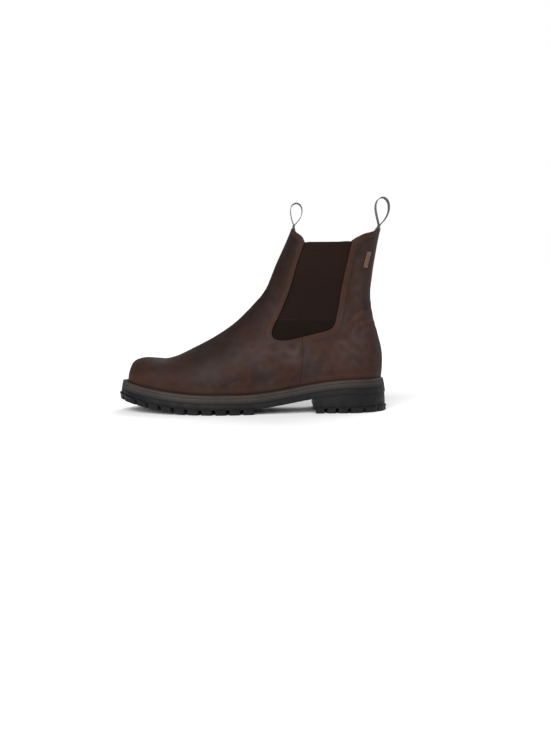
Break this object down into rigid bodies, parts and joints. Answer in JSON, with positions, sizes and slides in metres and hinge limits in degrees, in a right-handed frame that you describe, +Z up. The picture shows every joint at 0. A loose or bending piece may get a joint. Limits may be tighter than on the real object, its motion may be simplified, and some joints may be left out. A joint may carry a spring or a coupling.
{
  "type": "chelsea boot",
  "caption": "Left ankle boot in brown waxed leather with elastic side panels, pull loops at front and back and a lugged rubber sole.",
  "frame": {"origin": "centre of the boot's box on the ground plane it stands on", "axes": "-X towards the toe, -Y towards the outer side of the foot, +Y towards the other foot, +Z up"},
  "size_m": [0.306, 0.109, 0.2417],
  "materials": {
    "brown_leather": "waxed pull-up nubuck",
    "lining_leather": "undyed lining leather",
    "brown_elastic": "ribbed elastic",
    "black_webbing": "woven tape",
    "black_rubber": "moulded, matt",
    "grey_rubber": "smooth, matt",
    "insole_board": "pressed fibre board",
    "cork": "ground cork",
    "stiffener": "resin-stiffened sheet",
    "footbed_cover": "cushioned, leather covered",
    "tan_tag": "plain tag",
    "steel": "bright"
  },
  "bodies": {
    "boot": {"vamp": "brown_leather", "quarter_lateral": "brown_leather", "quarter_medial": "brown_leather", "gore_lateral": "brown_elastic", "gore_medial": "brown_elastic", "vamp_lining": "lining_leather", "quarter_lining_lateral": "lining_leather", "quarter_lining_medial": "lining_leather", "toe_puff": "stiffener", "heel_counter": "stiffener", "insole_board": "insole_board", "footbed": "footbed_cover", "cork_filler": "cork", "shank": "steel", "welt": "grey_rubber", "midsole": "grey_rubber", "outsole": "black_rubber", "heel_block": "black_rubber", "heel_nail_01": "steel", "heel_nail_02": "steel", "heel_nail_03": "steel", "heel_nail_04": "steel", "heel_nail_05": "steel", "heel_nail_06": "steel", "heel_nail_07": "steel", "heel_nail_08": "steel", "heel_nail_09": "steel", "heel_nail_10": "steel", "heel_nail_11": "steel", "heel_nail_12": "steel", "side_tag": "tan_tag", "front_pull_tab": "black_webbing", "back_pull_tab": "black_webbing"},
    "front_pull": {"front_pull_loop": "black_webbing"},
    "back_pull": {"back_pull_loop": "black_webbing"}
  },
  "joints": [
    {"name": "front_pull_fold", "type": "hinge", "parent": "boot", "child": "front_pull", "pos_m": [0.0441, 0.0057, 0.2085], "axis": [0, 1, 0], "range_deg": [-80, 60], "stiffness_Nm_per_rad": 0.01},
    {"name": "back_pull_fold", "type": "hinge", "parent": "boot", "child": "back_pull", "pos_m": [0.1418, 0.0057, 0.2085], "axis": [0, 1, 0], "range_deg": [-75, 85], "stiffness_Nm_per_rad": 0.01}
  ]
}
